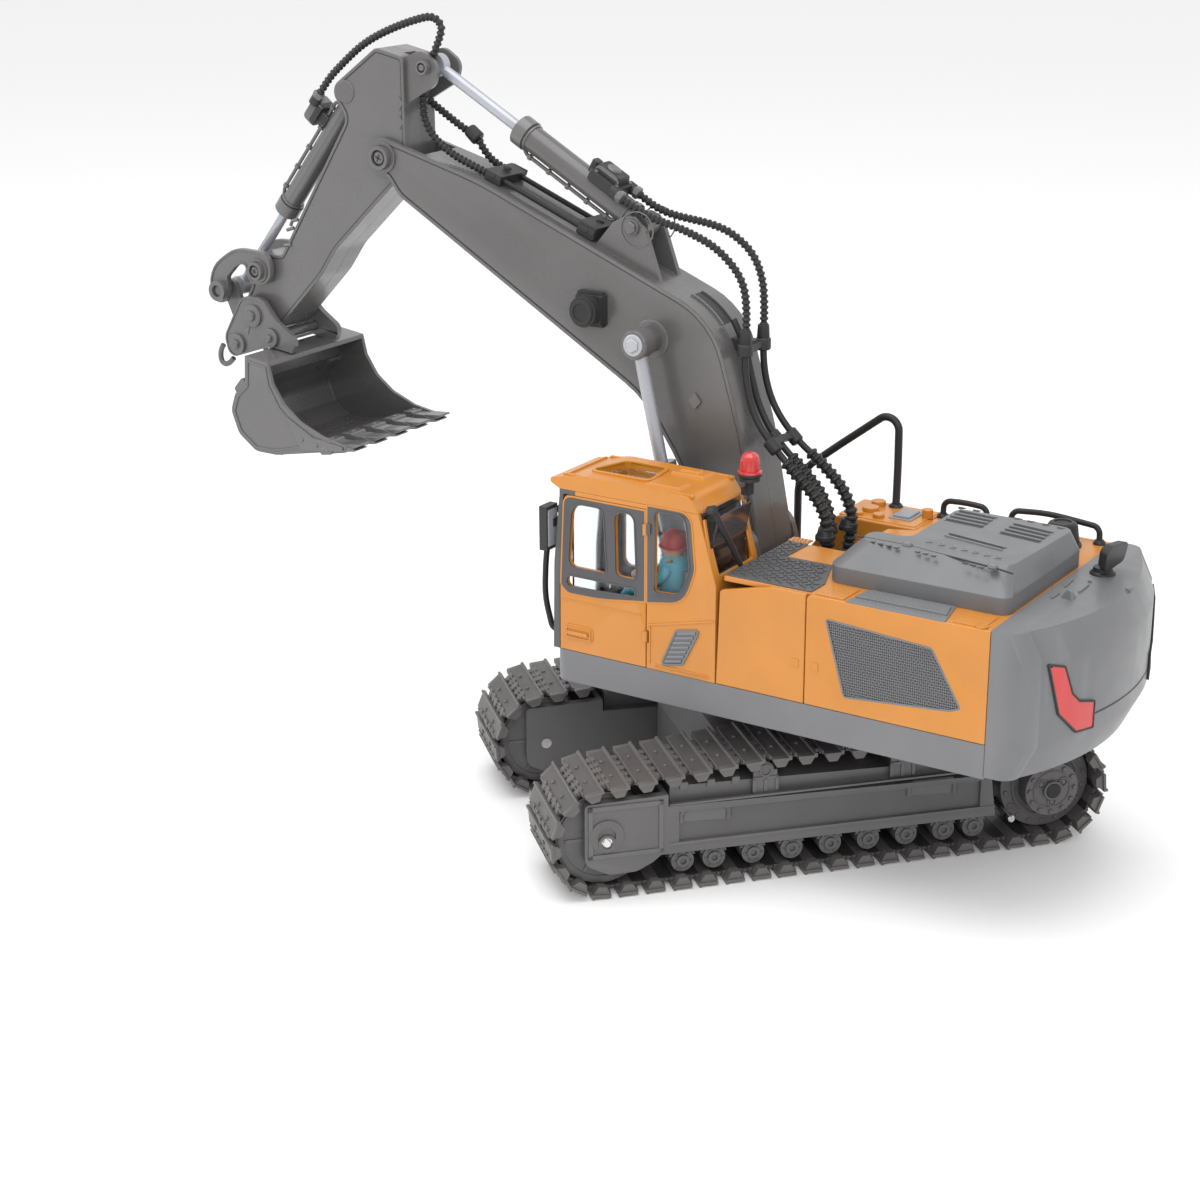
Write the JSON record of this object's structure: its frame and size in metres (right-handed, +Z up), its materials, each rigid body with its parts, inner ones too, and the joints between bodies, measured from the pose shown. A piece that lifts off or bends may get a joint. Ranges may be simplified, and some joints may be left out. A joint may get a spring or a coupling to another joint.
{
  "type": "toy excavator",
  "caption": "Tracked toy excavator with a slewing house, opening cab door, lifting boom, swinging stick, curling bucket, dummy cylinders and hoses.",
  "frame": {"origin": "on the ground under the middle of the slew ring", "axes": "+X forward along the boom, +Y to the cab side, +Z up; the undercarriage is stored turned 47.6 degrees about +Z"},
  "size_m": [0.4062, 0.2428, 0.2892],
  "materials": {
    "body_orange": "smooth satin orange plastic",
    "body_grey": "satin mid grey plastic with a faint blue cast",
    "arm_grey": "semi-gloss warm dark grey plastic",
    "undercarriage_plastic": "semi-matte warm dark grey plastic",
    "track_plastic": "matte dark brown-grey plastic",
    "sprocket_plastic": "semi-matte dark grey plastic",
    "pin_steel": "plain steel",
    "motor_metal": "plated motor cans",
    "gear_nylon": "white nylon",
    "black_plastic": "satin black plastic",
    "board_green": "green solder mask",
    "battery_wrap": "blue shrink wrap",
    "cab_dark_grey": "satin dark grey plastic",
    "clear_plastic": "clear polystyrene",
    "interior_plastic": "matte grey plastic",
    "driver_blue": "painted figure: light blue clothes, red helmet",
    "red_lens": "clear red plastic",
    "button_grey": "grey plastic",
    "hose_black": "black ribbed flexible plastic",
    "silver_plastic": "silver painted plastic"
  },
  "bodies": {
    "root": {"centre_frame": "undercarriage_plastic", "base_lid": "undercarriage_plastic", "left_track_frame": "undercarriage_plastic", "right_track_frame": "undercarriage_plastic", "left_track_belt": "track_plastic", "right_track_belt": "track_plastic", "track_rollers": "undercarriage_plastic", "axle_pins": "pin_steel", "drive_motors": "motor_metal", "slew_ring_gear": "gear_nylon"},
    "left_idler": {"left_idler": "undercarriage_plastic"},
    "right_idler": {"right_idler": "undercarriage_plastic"},
    "left_sprocket": {"left_sprocket": "sprocket_plastic"},
    "right_sprocket": {"right_sprocket": "sprocket_plastic"},
    "slew_pinion": {"slew_pinion": "gear_nylon"},
    "house": {"house_motors": "motor_metal", "slew_platform": "body_grey", "counterweight": "body_grey", "left_rear_panel": "body_orange", "right_rear_panel": "body_orange", "left_front_panel": "body_orange", "deck_plate": "body_orange", "engine_hood": "body_grey", "right_side_box": "body_orange", "deck_caps": "body_orange", "circuit_board": "board_green", "battery_pack": "battery_wrap", "cab_shell": "body_orange", "cab_front_frame": "cab_dark_grey", "cab_roof": "body_orange", "cab_glass": "clear_plastic", "cab_interior": "interior_plastic", "driver_figure": "driver_blue", "boom_brackets": "arm_grey", "signal_lenses": "red_lens", "handrails": "black_plastic", "cab_fittings": "black_plastic"},
    "power_button": {"power_button": "button_grey"},
    "cab_door": {"cab_door": "body_orange", "door_glass": "clear_plastic"},
    "boom": {"boom_left_shell": "arm_grey", "boom_right_shell": "arm_grey", "boom_pins": "arm_grey", "boom_fittings": "black_plastic", "boom_hoses": "hose_black", "stick_hoses": "hose_black"},
    "stick": {"stick_left_shell": "arm_grey", "stick_right_shell": "arm_grey", "stick_pins": "arm_grey"},
    "boom_barrels": {"boom_cylinder_barrels": "arm_grey"},
    "boom_rods": {"boom_cylinder_rods": "silver_plastic"},
    "stick_barrel": {"stick_cylinder_barrel": "arm_grey"},
    "stick_rod": {"stick_cylinder_rod": "silver_plastic"},
    "bucket_barrel": {"bucket_cylinder_barrel": "arm_grey"},
    "bucket_rod": {"bucket_cylinder_rod": "silver_plastic"},
    "bucket_lever": {"bucket_lever": "arm_grey"},
    "bucket_link": {"bucket_link": "arm_grey"},
    "bucket": {"bucket": "arm_grey", "bucket_coupler": "arm_grey", "coupler_pins": "arm_grey"}
  },
  "joints": [
    {"name": "slew", "type": "hinge", "parent": "root", "child": "house", "pos_m": [0, 0, 0], "axis": [0, 0, 1], "range_deg": [-340, 340]},
    {"name": "slew_pinion_turn", "type": "hinge", "parent": "house", "child": "slew_pinion", "pos_m": [-0.0281, 0, 0], "axis": [0, 0, 1], "range_deg": [-1030, 1030]},
    {"name": "boom_lift", "type": "hinge", "parent": "house", "child": "boom", "pos_m": [0.013, 0, 0.104], "axis": [0, -1, 0], "range_deg": [-32, 12], "deforming": ["boom_hoses"]},
    {"name": "boom_barrels_tilt", "type": "hinge", "parent": "house", "child": "boom_barrels", "pos_m": [0.03, 0, 0.086], "axis": [0, -1, 0], "range_deg": [-29.62, 11.42]},
    {"name": "boom_rods_slide", "type": "slide", "parent": "boom_barrels", "child": "boom_rods", "axis": [0.2266, 0, 0.974], "range_m": [-0.01301, 0.005]},
    {"name": "stick_swing", "type": "hinge", "parent": "boom", "child": "stick", "pos_m": [0.174, 0, 0.2343], "axis": [0, 1, 0], "range_deg": [-20, 42], "deforming": ["stick_hoses"]},
    {"name": "stick_barrel_tilt", "type": "hinge", "parent": "boom", "child": "stick_barrel", "pos_m": [0.0625, 0, 0.2174], "axis": [0, 1, 0], "range_deg": [-2.02, 3.68]},
    {"name": "stick_rod_slide", "type": "slide", "parent": "stick_barrel", "child": "stick_rod", "axis": [0.873, 0, 0.4878], "range_m": [-0.01365, 0.02845]},
    {"name": "bucket_curl", "type": "hinge", "parent": "stick", "child": "bucket", "pos_m": [0.2423, 0, 0.1644], "axis": [0, 1, 0], "range_deg": [-75, 3]},
    {"name": "bucket_lever_turn", "type": "hinge", "parent": "stick", "child": "bucket_lever", "pos_m": [0.2398, 0, 0.183], "axis": [0, 1, 0], "range_deg": [-51.14, 2.53]},
    {"name": "bucket_link_turn", "type": "hinge", "parent": "bucket_lever", "child": "bucket_link", "pos_m": [0.2606, 0, 0.1726], "axis": [0, 1, 0], "range_deg": [-1.87, 34.7]},
    {"name": "bucket_barrel_tilt", "type": "hinge", "parent": "stick", "child": "bucket_barrel", "pos_m": [0.1935, 0, 0.2577], "axis": [0, 1, 0], "range_deg": [-8.9, 0.84]},
    {"name": "bucket_rod_slide", "type": "slide", "parent": "bucket_barrel", "child": "bucket_rod", "axis": [0.6192, 0, -0.7853], "range_m": [-0.01343, 0.00073]},
    {"name": "left_track_drive", "type": "hinge", "parent": "root", "child": "left_sprocket", "pos_m": [-0.09116, -0.0319, 0.0211], "axis": [-0.7388, 0.6739, 0], "continuous": true},
    {"name": "left_idler_turn", "type": "hinge", "parent": "root", "child": "left_idler", "pos_m": [0.02341, 0.0937, 0.0211], "axis": [-0.7388, 0.6739, 0], "continuous": true},
    {"name": "right_track_drive", "type": "hinge", "parent": "root", "child": "right_sprocket", "pos_m": [-0.02341, -0.0937, 0.0211], "axis": [-0.7388, 0.6739, 0], "continuous": true},
    {"name": "right_idler_turn", "type": "hinge", "parent": "root", "child": "right_idler", "pos_m": [0.09116, 0.0319, 0.0211], "axis": [-0.7388, 0.6739, 0], "continuous": true},
    {"name": "cab_door_swing", "type": "hinge", "parent": "house", "child": "cab_door", "pos_m": [0.0207, 0.0649, 0.1], "axis": [0, 0, 1], "range_deg": [0, 70]},
    {"name": "power_button_press", "type": "slide", "parent": "house", "child": "power_button", "axis": [0, 0, -1], "range_m": [0, 0.001], "stiffness_N_per_m": 300}
  ],
  "couplings": [
    {"joint": "slew_pinion_turn", "follows": "slew", "ratio": 3},
    {"joint": "boom_barrels_tilt", "follows": "boom_lift", "ratio": 0.8922},
    {"joint": "boom_rods_slide", "follows": "boom_lift", "m_per_rad": 0.022487},
    {"joint": "stick_barrel_tilt", "follows": "stick_swing", "ratio": 0.0743},
    {"joint": "stick_rod_slide", "follows": "stick_swing", "m_per_rad": 0.037787},
    {"joint": "bucket_lever_turn", "follows": "bucket_curl", "ratio": 0.662},
    {"joint": "bucket_link_turn", "follows": "bucket_curl", "ratio": -0.447},
    {"joint": "bucket_barrel_tilt", "follows": "bucket_curl", "ratio": 0.1098},
    {"joint": "bucket_rod_slide", "follows": "bucket_curl", "m_per_rad": 0.009912},
    {"joint": "left_idler_turn", "follows": "left_track_drive", "ratio": 1},
    {"joint": "right_idler_turn", "follows": "right_track_drive", "ratio": 1}
  ]
}
